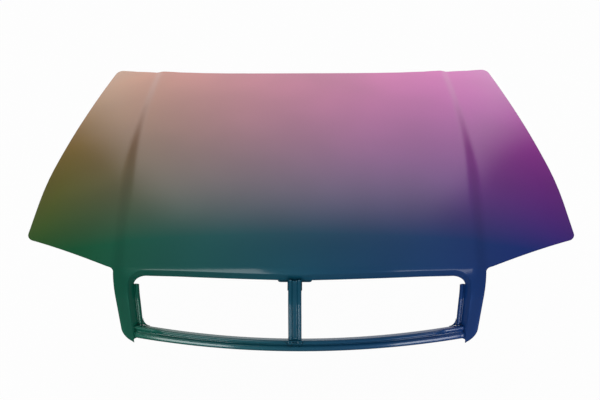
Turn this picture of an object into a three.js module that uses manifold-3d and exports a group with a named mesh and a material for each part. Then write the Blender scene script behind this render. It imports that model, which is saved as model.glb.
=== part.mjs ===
// A bare car bonnet: a pressed outer skin hemmed round a stamped frame, with a grille surround at its nose.
// Sizes are in millimetres. X runs across the car, Y towards its rear and Z up.
// Every piece is laid out flat first, as [x across, s forward along the panel, w out of the panel],
// and is then bent onto the curved panel, as a sheet is pressed.
import * as THREE from "three";
import { mergeVertices } from "three/addons/utils/BufferGeometryUtils.js";
import Module from "manifold-3d";

const wasm = await Module();
wasm.setup();

const degrees = THREE.MathUtils.degToRad;

// Shape of the panel
const REAR_SLOPE = degrees(7); // fall of the panel at its windscreen end
const FRONT_SLOPE = degrees(17); // fall where the nose bend starts
const FACE_SLOPE = degrees(72); // fall of the front face
const PANEL_LENGTH = 850; // from the windscreen end to the nose bend
const NOSE_RADIUS = 105;
const CROWN_FALL = 39.2; // the panel's sides lie lower than its centre line by this
const SHOULDER_FROM = 425; // the shoulders fall faster outside this distance
const SHOULDER_FALL = 20.1;
const NOSE_SWEEP = 58.8; // the nose is swept back by this at its sides
const SWEEP_FROM = 300;
const CREASE_REAR = 466; // distance of the creases from the centre line at the windscreen end
const CREASE_DRAW_IN = 64; // how far they draw in by the aperture
const CREASE_CURVE = 2.2; // how late they draw in
const CREASE_STEP = 5; // the panel outside the creases lies lower by this
const CREASE_BAND = 30;

// Outline of the skin, as distances from the centre line and along the panel
const REAR_EDGE = -18; // rear edge at the centre line
const REAR_BOW = 146; // the rear corners lie further back by this
const LATE_BOW = 0.51; // share of the bow that lies near the corners
const REAR_POINTS = 8;
const REAR_HALF = 648;
const REAR_CORNER_RADIUS = 18;
const FLANK_HALF = 681.6; // the flanks are nearly straight from the rear corner to here
const FLANK_AT = 247.6;
const FLANK_RADIUS = 3000;
const WIDEST_HALF = 700;
const WIDEST_RADIUS = 1500;
const WIDEST_AT = 520;
const CORNER_HALF = 692;
const CORNER_AT = 750;
const CORNER_RADIUS = 30;
const ROOT_HALF = 432; // where the wing's front edge meets the leg
const ROOT_AT = 858;
const ROOT_RADIUS = 22;
const LEG_HALF = 409; // outer edge of the leg at its tip
const LEG_END = 1036;
const LEG_RADIUS = 34;
const TIP_HALF = 380; // inner edge of the leg at its tip
const TIP_END = 1051;
const APERTURE_HALF = 391;
const APERTURE_AT = 867;
const APERTURE_RADIUS = 36;
const LIP_CENTRE = 875;
const LIP_STRAIGHT = 287; // the lip is straight outside this distance from the centre line

// Sheets, folds and clearances
const SKIN = 0.8;
const FRAME_SHEET = 0.7;
const RAIL_SHEET = 1.2;
const PLATE_SHEET = 2;
const GAP = 0.3; // clearance between pieces that touch
const HEM = 10; // width of the skin's hem return
const LIP_LEAN = 6; // the skin's turned-in lip leans this far into the aperture
const FRAME_DEPTH = 18; // the frame's ribs lie this far under the panel
const FLANGE = 22; // width of the frame's edge flange
const DRAFT = 11; // slope of the frame's drawn walls, as a run in the plane of the panel
const LAND_DEPTH = 5; // depth of the lands round the frame's windows
const LAND = 12;
const DRAWN_ROOM = 8; // least radius left at the foot of a drawn wall

// Windows of the frame, as the corners of the one on each side and their radius
const WINDOW_REAR = 70;
const WINDOW_FRONT = 640;
const WINDOW_WIDTH = 125;
const RIB = 56;
const WINDOW_DRAW_IN = 0.9; // the windows draw in towards the front by this factor
const WINDOW_RADIUS = 30;
const WINDOW_STAGGER = 14; // each window starts further back than the one inside it
const WINDOWS = 3;

// Grille surround
const LATCH_X = -9; // the latch plate, and the strut below it, sit off the centre line
const RAIL_TOP = 1029; // top edge of the lower rail at the centre line
const RAIL_LIFT = 19.6; // its ends lie higher up the face by this
const RAIL_HEIGHT = 25;
const RAIL_STEPS = 12; // facets in each half of the rail
const RAIL_DEPTH = 19;
const RAIL_RIDGE = 3; // width of the thin upper ridge
const RAIL_GROOVE = 3;
const RAIL_FACE = 3; // the rail's upper ridge lies this far inside the panel's face
const RAIL_LOWER_FACE = 2;
const PRESSING = 5; // depth of the grooves between ridges
const FOLD_RUN = 2.5; // width of the slope beside a ridge
const FOLD_FALL = 3; // depth of the slope beside an outer edge
const STRUT_WIDTH = 30;
const STRUT_FACE = 5;
const STRUT_RIDGE = 4;
const BRACKET_REACH = 24; // how far the bracket runs each way from the latch plate's front edge
const BRACKET_FACE = 9;
const UPRIGHT_START = 900;
const UPRIGHT_WIDTH = 17;
const UPRIGHT_RIDGE = 2.5;
const UPRIGHT_PRESSING = 4;
const GUSSET = 16;
const LATCH_PLATE_WIDTH = 78;
const LATCH_PLATE_REAR = 778;
const LATCH_PLATE_TAB = 3; // the latch plate shows below the lip by this

// Hinge plates, latch bolts, weld nuts and mastic pads
const HINGE_X = 560;
const HINGE_S = -30;
const HINGE_WIDTH = 60;
const HINGE_LENGTH = 110;
const HINGE_GAP = 1;
const HINGE_BOLT_PITCH = 60;
const LATCH_BOLT_PITCH = 56;
const LATCH_BOLT_AT = 812;
const BOLT_HOLE_RADIUS = 4.5;
const NUT_RADIUS = 9;
const NUT_BORE_RADIUS = 4;
const NUT_HEIGHT = 8;
const NUT_ROOM = 3; // clearance round each nut in the frame
const CIRCLE_SIDES = 12;
const NUT_SIDES = 6;
const PAD_LENGTH = 40;
const PAD_WIDTH = 8;
const PADS_AT = [230, 500];

// Worked-out places
const NOSE_ARC = NOSE_RADIUS * (FACE_SLOPE - FRONT_SLOPE);
const FACE_START = PANEL_LENGTH + NOSE_ARC;
const FRAME_TOP = -FRAME_DEPTH;
const FRAME_UNDER = FRAME_TOP - FRAME_SHEET;
const FLANGE_TOP = -SKIN - GAP;
const FLANGE_UNDER = FLANGE_TOP - FRAME_SHEET;
const HEM_TOP = FLANGE_UNDER - GAP;
const HEM_UNDER = HEM_TOP - SKIN;
const LIP_DEPTH = FRAME_DEPTH - 2 * GAP;
const LATCH_TOP = FRAME_UNDER - GAP;
const LATCH_UNDER = LATCH_TOP - PLATE_SHEET;
const BRACKET_TOP = LATCH_UNDER - GAP;
const BRACKET_UNDER = BRACKET_TOP - RAIL_SHEET;
const LATCH_FRONT = LIP_CENTRE + LIP_LEAN + LATCH_PLATE_TAB;

// Fine rows round the nose bend, and columns that follow the creases
const COARSE_STEP = 115;
const NOSE_STEPS = 7;
const FACE_STEP = 32;
const INNER_COLUMNS = [0.14, 0.42, 0.71]; // as shares of the way from the centre line to the crease
const OUTER_COLUMNS = [0.35, 0.7, 1]; // as shares of the way from the crease to the side
const OUTLINE_STEP = 75;
const ARC_STEP = degrees(30);
const MARGIN = 30;
const MITRE_LIMIT = 0.3;
const ROW_ROOM = 2; // a path isn't split this close to its own points
const WELD = 0.0001; // points closer than this are one
const BOW = 0.0001; // rise of the flat sheets while they are joined and cut
const NOSE_BOW = 0.001;
const TALL = 400;

function creaseAt(s) {
  return CREASE_REAR - CREASE_DRAW_IN * Math.pow(Math.max(s, 0) / LIP_CENTRE, CREASE_CURVE);
}

function smooth(t) {
  const clamped = THREE.MathUtils.clamp(t, 0, 1);
  return clamped * clamped * (3 - 2 * clamped);
}

// Side view of the centre line: how far forward, how low and how steep it is after a length s.
function centreLine(s) {
  const bend = (FRONT_SLOPE - REAR_SLOPE) / PANEL_LENGTH;
  const panelSlope = REAR_SLOPE + bend * Math.min(s, PANEL_LENGTH);
  let forward = (Math.sin(panelSlope) - Math.sin(REAR_SLOPE)) / bend;
  let height = (Math.cos(panelSlope) - Math.cos(REAR_SLOPE)) / bend;
  const arc = THREE.MathUtils.clamp(s - PANEL_LENGTH, 0, NOSE_ARC);
  const slope = panelSlope + arc / NOSE_RADIUS;
  forward += NOSE_RADIUS * (Math.sin(slope) - Math.sin(panelSlope));
  height += NOSE_RADIUS * (Math.cos(slope) - Math.cos(panelSlope));
  const straight = Math.max(s - FACE_START, 0);
  forward += straight * Math.cos(FACE_SLOPE);
  height -= straight * Math.sin(FACE_SLOPE);
  return { forward, height, slope };
}

// A point on the outside of the skin.
function skinPoint(x, s) {
  const { forward, height, slope } = centreLine(s);
  const across = Math.abs(x);
  const out = across / WIDEST_HALF;
  const shoulder = Math.max(across - SHOULDER_FROM, 0) / (WIDEST_HALF - SHOULDER_FROM);
  const step = CREASE_STEP * smooth((across - creaseAt(s)) / CREASE_BAND);
  const drop = CROWN_FALL * out ** 2 + SHOULDER_FALL * shoulder ** 2 + step;
  const back = NOSE_SWEEP * out ** 2 * smooth((s - SWEEP_FROM) / (PANEL_LENGTH - SWEEP_FROM));
  return new THREE.Vector3(x, drop * Math.sin(slope) - forward + back, height - drop * Math.cos(slope));
}

function skinNormal(x, s) {
  const reach = 2;
  const across = skinPoint(x + reach, s).sub(skinPoint(x - reach, s));
  const along = skinPoint(x, s + reach).sub(skinPoint(x, s - reach));
  return along.cross(across).normalize();
}

function range(from, to, step) {
  const count = Math.max(1, Math.round((to - from) / step));
  return Array.from({ length: count + 1 }, (_, i) => from + ((to - from) * i) / count);
}

const rows = [
  ...range(REAR_EDGE - REAR_BOW - MARGIN, PANEL_LENGTH, COARSE_STEP),
  ...range(PANEL_LENGTH, FACE_START, NOSE_ARC / NOSE_STEPS).slice(1),
  ...range(FACE_START, TIP_END + MARGIN, FACE_STEP).slice(1),
];

function columnsAt(s) {
  const crease = creaseAt(s);
  const shoulder = crease + CREASE_BAND;
  const edge = Math.max(REAR_HALF, WIDEST_HALF, CORNER_HALF) + MARGIN;
  const inner = INNER_COLUMNS.map((share) => share * crease);
  const outer = OUTER_COLUMNS.map((share) => shoulder + (edge - shoulder) * share);
  const half = [...inner, crease, shoulder, ...outer];
  return [...half.map((x) => -x).reverse(), ...half];
}

// The panel's facets: every sheet shares them, so that sheets lie parallel wherever they are cut.
const facets = rows.map((s) => {
  return columnsAt(s).map((x) => ({ x, s, point: skinPoint(x, s), normal: skinNormal(x, s) }));
});

// The three corners of the facet under a flat point, each with its share of the point.
function facetAt(x, s) {
  const inRows = THREE.MathUtils.clamp(s, rows[0], rows.at(-1));
  const row = Math.max(0, rows.findIndex((next) => next >= inRows) - 1);
  const [rear, front] = [facets[row], facets[row + 1]];
  const t = (inRows - rows[row]) / (rows[row + 1] - rows[row]);
  const lineX = (column) => THREE.MathUtils.lerp(rear[column].x, front[column].x, t);
  let column = 0;
  while (column < rear.length - 2 && lineX(column + 1) < x) column += 1;
  const [a, b, c, d] = [rear[column], rear[column + 1], front[column + 1], front[column]];
  const pick = (p, q, r) => {
    const area = (q.x - p.x) * (r.s - p.s) - (r.x - p.x) * (q.s - p.s);
    const second = ((x - p.x) * (r.s - p.s) - (r.x - p.x) * (s - p.s)) / area;
    const third = ((q.x - p.x) * (s - p.s) - (x - p.x) * (q.s - p.s)) / area;
    return [[p, 1 - second - third], [q, second], [r, third]];
  };
  const first = pick(a, b, c);
  return Math.min(...first.map(([, share]) => share)) > -1e-9 ? first : pick(a, c, d);
}

// A flat point [x, s, w] bent onto the panel.
function bent(x, s, w) {
  const place = new THREE.Vector3();
  for (const [corner, share] of facetAt(x, s)) {
    place.addScaledVector(corner.point, share).addScaledVector(corner.normal, share * w);
  }
  return place;
}

const latchSeat = bent(0, LATCH_BOLT_AT, LATCH_UNDER);

// Flat outlines
function mirrored(path) {
  return path.map(([x, s]) => [-x, s]).reverse();
}

// Rounds each [x, s, radius] corner of an open path. A rounding reaches to the middle of a line beside it,
// or as far as the next rounding leaves free.
function rounded(corners) {
  const points = corners.map(([x, s]) => new THREE.Vector2(x, s));
  const last = points.length - 1;
  const directions = points.slice(1).map((point, i) => point.clone().sub(points[i]).normalize());
  const turns = points.map((_, i) => {
    if (i === 0 || i === last) return 0;
    return Math.acos(THREE.MathUtils.clamp(directions[i - 1].dot(directions[i]), -1, 1));
  });
  const wanted = turns.map((turn, i) => (turn > 0 ? corners[i][2] * Math.tan(turn / 2) : 0));
  const room = (i, other) => {
    const length = points[i].distanceTo(points[other]);
    return length - Math.min(wanted[other], length / 2);
  };
  const path = [corners[0].slice(0, 2)];
  for (let i = 1; i < last; i += 1) {
    const [here, turn] = [points[i], turns[i]];
    const reach = Math.min(wanted[i], room(i, i - 1), room(i, i + 1));
    const radius = turn > 0 ? reach / Math.tan(turn / 2) : 0;
    if (radius * turn < 1) {
      path.push([here.x, here.y]);
      continue;
    }
    const start = here.clone().addScaledVector(directions[i - 1], -reach);
    const spin = Math.sign(directions[i - 1].cross(directions[i]));
    const [alongX, alongY] = directions[i - 1].toArray();
    const centre = start.clone().add(new THREE.Vector2(-alongY, alongX).multiplyScalar(spin * radius));
    const steps = Math.max(2, Math.round(turn / ARC_STEP));
    for (let k = 0; k <= steps; k += 1) {
      const point = start.clone().rotateAround(centre, (spin * turn * k) / steps);
      path.push([point.x, point.y]);
    }
  }
  path.push(corners.at(-1).slice(0, 2));
  return path;
}

function subdivided(path, closed = false) {
  const points = [];
  const count = closed ? path.length : path.length - 1;
  for (let i = 0; i < count; i += 1) {
    const [x, s] = path[i];
    const [nextX, nextS] = path[(i + 1) % path.length];
    const steps = Math.max(1, Math.ceil(Math.hypot(nextX - x, nextS - s) / OUTLINE_STEP));
    for (let k = 0; k < steps; k += 1) {
      points.push([x + ((nextX - x) * k) / steps, s + ((nextS - s) * k) / steps]);
    }
  }
  if (!closed) points.push(path.at(-1));
  return points;
}

// Adds a point wherever a path crosses a row of facets.
function splitAtRows(path) {
  return path.flatMap(([x, s], i) => {
    if (i === path.length - 1) return [[x, s]];
    const [nextX, nextS] = path[i + 1];
    const [low, high] = [Math.min(s, nextS) + ROW_ROOM, Math.max(s, nextS) - ROW_ROOM];
    const crossed = rows.filter((row) => row > low && row < high);
    if (nextS < s) crossed.reverse();
    return [[x, s], ...crossed.map((row) => [x + ((nextX - x) * (row - s)) / (nextS - s), row])];
  });
}

// A path moved sideways, to the right of its direction of travel.
function moved(path, distance, closed = false) {
  const last = path.length - 1;
  return path.map(([x, s], i) => {
    const [backX, backS] = path[i > 0 ? i - 1 : closed ? last : 0];
    const [nextX, nextS] = path[i < last ? i + 1 : closed ? 0 : last];
    const into = new THREE.Vector2(x - backX, s - backS).normalize();
    const out = new THREE.Vector2(nextX - x, nextS - s).normalize();
    const along = into.clone().add(out).normalize();
    const half = Math.max(along.dot(into.lengthSq() > 0 ? into : out), MITRE_LIMIT);
    return [x + (along.y * distance) / half, s - (along.x * distance) / half];
  });
}

function strip(path, from, to) {
  return [...moved(path, from), ...moved(path, to).reverse()];
}

// Half outlines, from the rear edge's centre to the leg's tip, and from there to the lip's centre
const rearHalf = Array.from({ length: REAR_POINTS }, (_, i) => {
  const share = i / REAR_POINTS;
  const bowed = (1 - LATE_BOW) * share ** 2 + LATE_BOW * share ** 4;
  return [share * REAR_HALF, REAR_EDGE - REAR_BOW * bowed, 0];
});
const wingHalf = (least) => [
  [REAR_HALF, REAR_EDGE - REAR_BOW, Math.max(REAR_CORNER_RADIUS, least)],
  [FLANK_HALF, FLANK_AT, FLANK_RADIUS],
  [WIDEST_HALF, WIDEST_AT, WIDEST_RADIUS],
  [CORNER_HALF, CORNER_AT, Math.max(CORNER_RADIUS, least)],
  [ROOT_HALF, ROOT_AT, ROOT_RADIUS],
];
const legHalf = [
  [LEG_HALF, LEG_END, LEG_RADIUS],
  [TIP_HALF, TIP_END, 0],
];
const apertureHalf = [
  [TIP_HALF, TIP_END, 0],
  [APERTURE_HALF, APERTURE_AT, APERTURE_RADIUS],
  [LIP_STRAIGHT, APERTURE_AT, WIDEST_RADIUS],
  [0, LIP_CENTRE, 0],
];
const halfHem = (least) => subdivided(rounded([...rearHalf, ...wingHalf(least), ...legHalf]));
const wholeHem = (half) => [...mirrored(half).slice(0, -1), ...half].reverse();
const rightHem = halfHem(0);
const hemPath = wholeHem(rightHem);
const drawnHalf = halfHem(FLANGE + DRAFT + DRAWN_ROOM);
const rightAperture = splitAtRows(subdivided(rounded(apertureHalf)));
const leftAperture = mirrored(rightAperture);
const aperturePath = [...rightAperture, ...leftAperture.slice(1)];
const skinOutline = [...rightHem, ...aperturePath.slice(1), ...mirrored(rightHem).slice(1, -1)];

// Solids in the flat. A slight bow keeps the facets of a sheet apart until it is bent.
function bow(x, s) {
  return facetAt(x, s).reduce((sum, [corner, share]) => {
    const nose = Math.max(corner.s - PANEL_LENGTH, 0);
    return sum + share * (BOW * (corner.x ** 2 + corner.s ** 2) + NOSE_BOW * nose ** 2);
  }, 0);
}

function welded(geometry) {
  geometry.deleteAttribute("normal");
  geometry.deleteAttribute("uv");
  return mergeVertices(geometry, WELD);
}

function toSolid(geometry) {
  const merged = welded(geometry);
  const mesh = new wasm.Mesh({
    numProp: 3,
    vertProperties: new Float32Array(merged.attributes.position.array),
    triVerts: new Uint32Array(merged.index.array),
  });
  return new wasm.Manifold(mesh);
}

function geometryOf(points, triangles) {
  const geometry = new THREE.BufferGeometry();
  geometry.setAttribute("position", new THREE.Float32BufferAttribute(points.flat(), 3));
  geometry.setIndex(triangles);
  return geometry;
}

function prism(outline, low, high, holes = []) {
  const shape = new THREE.Shape(outline.map(([x, s]) => new THREE.Vector2(x, s)));
  shape.holes = holes.map((hole) => new THREE.Path(hole.map(([x, s]) => new THREE.Vector2(x, s))));
  return new THREE.ExtrudeGeometry(shape, { depth: high - low, bevelEnabled: false }).translate(0, 0, low);
}

// Closed skin round a grid of points, one grid on top of the other.
function slab(low, high) {
  const width = columnsAt(0).length;
  const layer = (w) => rows.flatMap((s) => columnsAt(s).map((x) => [x, s, w + bow(x, s)]));
  const points = [...layer(high), ...layer(low)];
  const under = rows.length * width;
  const at = (row, column) => row * width + column;
  const triangles = [];
  const quad = (a, b, c, d) => triangles.push(a, b, c, a, c, d);
  for (let row = 0; row < rows.length - 1; row += 1) {
    for (let column = 0; column < width - 1; column += 1) {
      const [a, b] = [at(row, column), at(row, column + 1)];
      const [c, d] = [at(row + 1, column + 1), at(row + 1, column)];
      quad(a, b, c, d);
      quad(under + d, under + c, under + b, under + a);
    }
    quad(at(row, 0), at(row + 1, 0), under + at(row + 1, 0), under + at(row, 0));
    const last = width - 1;
    quad(at(row + 1, last), at(row, last), under + at(row, last), under + at(row + 1, last));
  }
  const end = rows.length - 1;
  for (let column = 0; column < width - 1; column += 1) {
    quad(at(0, column + 1), at(0, column), under + at(0, column), under + at(0, column + 1));
    quad(at(end, column), at(end, column + 1), under + at(end, column + 1), under + at(end, column));
  }
  return toSolid(geometryOf(points, triangles));
}

function sheet(outline, low, high, holes = []) {
  return slab(low, high).intersect(toSolid(prism(outline, -TALL, TALL, holes)));
}

// A solid through a row of rings. Each ring runs out along one side of a sheet and back along the other.
function lofted(rings, closed = false) {
  const size = rings[0].length;
  const triangles = [];
  const count = closed ? rings.length : rings.length - 1;
  for (let i = 0; i < count; i += 1) {
    const here = i * size;
    const next = ((i + 1) % rings.length) * size;
    for (let k = 0; k < size; k += 1) {
      const other = (k + 1) % size;
      triangles.push(here + k, here + other, next + other, here + k, next + other, next + k);
    }
  }
  if (!closed) {
    const last = (rings.length - 1) * size;
    for (let k = 0; k < size / 2 - 1; k += 1) {
      const [a, b, c, d] = [k, k + 1, size - 2 - k, size - 1 - k];
      triangles.push(b, a, d, b, d, c);
      triangles.push(last + a, last + b, last + c, last + a, last + c, last + d);
    }
  }
  return geometryOf(rings.flat(), triangles);
}

function outwards(geometry) {
  const points = geometry.attributes.position;
  const index = geometry.index.array;
  let volume = 0;
  const [a, b, c] = [new THREE.Vector3(), new THREE.Vector3(), new THREE.Vector3()];
  for (let i = 0; i < index.length; i += 3) {
    a.fromBufferAttribute(points, index[i]);
    b.fromBufferAttribute(points, index[i + 1]);
    c.fromBufferAttribute(points, index[i + 2]);
    volume += a.dot(b.cross(c));
  }
  if (volume < 0) geometry.setIndex(Array.from(index).reverse());
  return geometry;
}

// A thin wall between two paths at two depths, for joining to a sheet.
function wall(upper, upperW, lower, lowerW, thickness, closed = false) {
  const upperIn = moved(upper, thickness, closed);
  const lowerIn = moved(lower, thickness, closed);
  const corner = ([x, s], w) => [x, s, w + bow(x, s)];
  const rings = upper.map((point, i) => [
    corner(point, upperW),
    corner(upperIn[i], upperW),
    corner(lowerIn[i], lowerW),
    corner(lower[i], lowerW),
  ]);
  return toSolid(outwards(lofted(rings, closed)));
}

// Bends a flat shape onto the panel. Forward is -Y there, so each triangle is turned over.
function bend(flat, bowed = 0) {
  const geometry = welded(flat);
  geometry.setIndex(Array.from(geometry.index.array).reverse());
  const position = geometry.attributes.position;
  for (let i = 0; i < position.count; i += 1) {
    const [x, s] = [position.getX(i), position.getY(i)];
    const point = bent(x, s, position.getZ(i) - bowed * bow(x, s)).sub(latchSeat);
    position.setXYZ(i, point.x, point.y, point.z);
  }
  geometry.computeVertexNormals();
  return geometry;
}

function bendSolid(solid) {
  const { vertProperties, triVerts } = solid.getMesh();
  const geometry = new THREE.BufferGeometry();
  geometry.setAttribute("position", new THREE.BufferAttribute(new Float32Array(vertProperties), 3));
  geometry.setIndex(new THREE.BufferAttribute(triVerts, 1));
  return bend(geometry, 1);
}

// Pieces
function outerSkin() {
  const face = sheet(skinOutline, -SKIN, 0);
  const hemWall = sheet(strip(hemPath, 0, SKIN), HEM_UNDER, 0);
  const hemReturn = sheet(strip(hemPath, 0, HEM), HEM_UNDER, HEM_TOP);
  const leaning = moved(aperturePath, LIP_LEAN);
  const lip = wall(aperturePath, -SKIN / 2, leaning, -LIP_DEPTH, -SKIN);
  return bendSolid(face.add(hemWall).add(hemReturn).add(lip));
}

function windowCorners(index) {
  const inner = RIB / 2 + index * (WINDOW_WIDTH + RIB);
  const outer = inner + WINDOW_WIDTH;
  const rear = WINDOW_REAR - index * WINDOW_STAGGER;
  return [
    [inner, rear],
    [outer, rear],
    [outer * WINDOW_DRAW_IN, WINDOW_FRONT],
    [inner * WINDOW_DRAW_IN, WINDOW_FRONT],
  ];
}

function closedRound(corners, radius) {
  const middle = [(corners[0][0] + corners[1][0]) / 2, (corners[0][1] + corners[1][1]) / 2];
  const around = [middle, ...corners.slice(1), corners[0], middle].map(([x, s]) => [x, s, radius]);
  return subdivided(rounded(around).slice(0, -1), true);
}

const rightWindows = Array.from({ length: WINDOWS }, (_, i) => closedRound(windowCorners(i), WINDOW_RADIUS));
const windows = [...rightWindows, ...rightWindows.map((path) => mirrored(path))];

const drawnPath = wholeHem(drawnHalf);
const rootRing = ROOT_RADIUS * 1.5;
const rootStart = drawnHalf.findIndex(([x, s]) => Math.hypot(x - ROOT_HALF, s - ROOT_AT) < rootRing);
const mainPath = wholeHem(drawnHalf.slice(0, rootStart));

function circle(x, s, radius, sides = CIRCLE_SIDES) {
  return Array.from({ length: sides }, (_, i) => {
    const angle = (2 * Math.PI * i) / sides;
    return [x + radius * Math.cos(angle), s + radius * Math.sin(angle)];
  });
}

const sides = [
  { side: -1, hand: "left" },
  { side: 1, hand: "right" },
];
const hingeBolts = sides.flatMap(({ side, hand }) => [
  { name: `hinge_nut_${hand}_rear`, side, along: -HINGE_BOLT_PITCH / 2 },
  { name: `hinge_nut_${hand}_front`, side, along: HINGE_BOLT_PITCH / 2 },
]);
const latchBolts = sides.map(({ side, hand }) => {
  return { name: `latch_nut_${hand}`, across: (side * LATCH_BOLT_PITCH) / 2 };
});
const nutPlaces = [
  ...hingeBolts.map(({ side, along }) => [side * HINGE_X, HINGE_S + along]),
  ...latchBolts.map(({ across }) => [LATCH_X + across, LATCH_BOLT_AT]),
];

function frameFloorOutline() {
  const rim = moved(mainPath, FLANGE + DRAFT);
  const lipHalf = APERTURE_HALF - APERTURE_RADIUS;
  const leaning = moved(aperturePath, LIP_LEAN);
  const lipEdge = leaning.filter(([x, s]) => Math.abs(x) < lipHalf && s < UPRIGHT_START);
  const cornerX = APERTURE_HALF + LIP_LEAN;
  return [...rim, [-cornerX, APERTURE_AT], ...lipEdge.reverse(), [cornerX, APERTURE_AT]];
}

function innerFrame() {
  const edge = [...moved(hemPath, SKIN + GAP), ...moved(drawnPath, FLANGE).reverse()];
  const lipRoom = strip(aperturePath, -SKIN - GAP, 2 * LIP_LEAN);
  const flange = sheet(edge, FLANGE_UNDER, FLANGE_TOP).subtract(toSolid(prism(lipRoom, -TALL, TALL)));
  const middle = FRAME_SHEET / 2;
  const rimTop = moved(mainPath, FLANGE - FRAME_SHEET);
  const rimFoot = moved(mainPath, FLANGE + DRAFT);
  const rim = wall(rimTop, FLANGE_TOP - middle, rimFoot, FRAME_TOP - middle, FRAME_SHEET);
  let frame = flange.add(sheet(frameFloorOutline(), FRAME_UNDER, FRAME_TOP)).add(rim);
  for (const window of windows) {
    const land = moved(window, -DRAFT, true);
    frame = frame.subtract(toSolid(prism(window, -TALL, TALL)));
    frame = frame.add(wall(window, FRAME_TOP - middle, land, -LAND_DEPTH - middle, FRAME_SHEET, true));
    const landEdge = moved(land, FRAME_SHEET, true);
    const opening = moved(land, -LAND, true);
    frame = frame.add(sheet(landEdge, -LAND_DEPTH - FRAME_SHEET, -LAND_DEPTH, [opening]));
  }
  for (const [x, s] of nutPlaces) {
    frame = frame.subtract(toSolid(prism(circle(x, s, NUT_RADIUS + NUT_ROOM), -TALL, TALL)));
  }
  return bendSolid(frame);
}

function railTopAt(x) {
  return RAIL_TOP - RAIL_LIFT * (x / APERTURE_HALF) ** 2;
}

// Distance from the centre line of the lip's face inside the aperture, at a depth.
function apertureSide(s, w) {
  const share = (TIP_END - s) / (TIP_END - APERTURE_AT);
  const lean = LIP_LEAN * THREE.MathUtils.clamp(-w / (LIP_DEPTH - SKIN), 0, 1);
  return TIP_HALF + (APERTURE_HALF - TIP_HALF) * share - lean;
}

// A pressed section swept through stations, each of which places a point [across, w] of it.
function swept(line, thickness, stations) {
  const half = thickness / 2;
  const section = [...moved(line, -half), ...moved(line, half).reverse()];
  return bend(outwards(lofted(stations.map((place) => section.map(([across, w]) => place(across, w))))));
}

function rowsBetween(start, end) {
  return [start, ...rows.filter((s) => s > start + 1 && s < end - 1), end];
}

function lowerRail() {
  const half = RAIL_SHEET / 2;
  const foot = RAIL_HEIGHT - half;
  const ridge = half + FOLD_RUN + RAIL_RIDGE;
  const groove = ridge + FOLD_RUN + RAIL_GROOVE;
  const line = [
    [half, -RAIL_DEPTH],
    [half, -LIP_DEPTH],
    [half, -RAIL_FACE - FOLD_FALL],
    [half + FOLD_RUN, -RAIL_FACE],
    [ridge, -RAIL_FACE],
    [ridge + FOLD_RUN, -RAIL_FACE - PRESSING],
    [groove, -RAIL_FACE - PRESSING],
    [groove + FOLD_RUN, -RAIL_LOWER_FACE],
    [foot - FOLD_RUN, -RAIL_LOWER_FACE],
    [foot, -RAIL_LOWER_FACE - FOLD_FALL],
    [foot, -LIP_DEPTH],
    [foot, -RAIL_DEPTH],
  ];
  const stations = range(-1, 1, 1 / RAIL_STEPS).map((share) => (down, w) => {
    const end = apertureSide(railTopAt(APERTURE_HALF) + down, w) - 2 * GAP;
    return [share * end, railTopAt(share * end) + down, w];
  });
  return swept(line, RAIL_SHEET, stations);
}

function centreStrut() {
  const edge = (STRUT_WIDTH - RAIL_SHEET) / 2;
  const ridge = edge - FOLD_RUN - STRUT_RIDGE;
  const half = [
    [edge, BRACKET_TOP + GAP],
    [edge, -STRUT_FACE - FOLD_FALL],
    [edge - FOLD_RUN, -STRUT_FACE],
    [ridge, -STRUT_FACE],
    [ridge - FOLD_RUN, -STRUT_FACE - PRESSING],
  ];
  const line = [...half.map(([x, w]) => [-x, w]), ...half.reverse()];
  const stations = rowsBetween(LATCH_FRONT + GAP, railTopAt(LATCH_X) - GAP).map((s) => (across, w) => {
    return [LATCH_X + across, s, w];
  });
  return swept(line, RAIL_SHEET, stations);
}

function box(middle, width, rear, front) {
  return [
    [middle - width / 2, rear],
    [middle + width / 2, rear],
    [middle + width / 2, front],
    [middle - width / 2, front],
  ];
}

function strutBracket() {
  const inside = STRUT_WIDTH / 2 + GAP;
  const width = 2 * (inside + RAIL_SHEET);
  const front = LATCH_FRONT + BRACKET_REACH;
  let bracket = sheet(box(LATCH_X, width, LATCH_FRONT - BRACKET_REACH, front), BRACKET_UNDER, BRACKET_TOP);
  for (const { side } of sides) {
    const cheek = box(LATCH_X + side * (inside + RAIL_SHEET / 2), RAIL_SHEET, LATCH_FRONT + GAP, front);
    bracket = bracket.add(sheet(cheek, BRACKET_UNDER, -BRACKET_FACE));
  }
  return bendSolid(bracket);
}

function latchPlate() {
  const outline = box(LATCH_X, LATCH_PLATE_WIDTH, LATCH_PLATE_REAR, LATCH_FRONT);
  const holes = latchBolts.map(({ across }) => circle(LATCH_X + across, LATCH_BOLT_AT, BOLT_HOLE_RADIUS));
  return bendSolid(sheet(outline, LATCH_UNDER, LATCH_TOP, holes));
}

function upright(side) {
  const clear = SKIN + 2 * GAP + RAIL_SHEET / 2;
  const behind = (w) => (LIP_LEAN * (-w - SKIN)) / LIP_DEPTH - clear;
  const top = FLANGE_UNDER - FOLD_FALL;
  const turn = -LIP_DEPTH - 2 * RAIL_SHEET;
  const edge = UPRIGHT_WIDTH - RAIL_SHEET / 2;
  const ridge = edge - 2 * FOLD_RUN - UPRIGHT_RIDGE;
  const line = [
    [behind(top), top],
    [behind(turn), turn],
    [ridge, turn],
    [ridge + FOLD_RUN, turn + UPRIGHT_PRESSING],
    [edge - FOLD_RUN, turn + UPRIGHT_PRESSING],
    [edge, turn],
    [edge, turn - FOLD_FALL],
  ];
  const end = railTopAt(APERTURE_HALF) - GAP;
  const stations = rowsBetween(UPRIGHT_START, end).map((s) => (inward, w) => {
    return [side * (apertureSide(s, 0) - inward), s, w];
  });
  return swept(line, RAIL_SHEET, stations);
}

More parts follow.
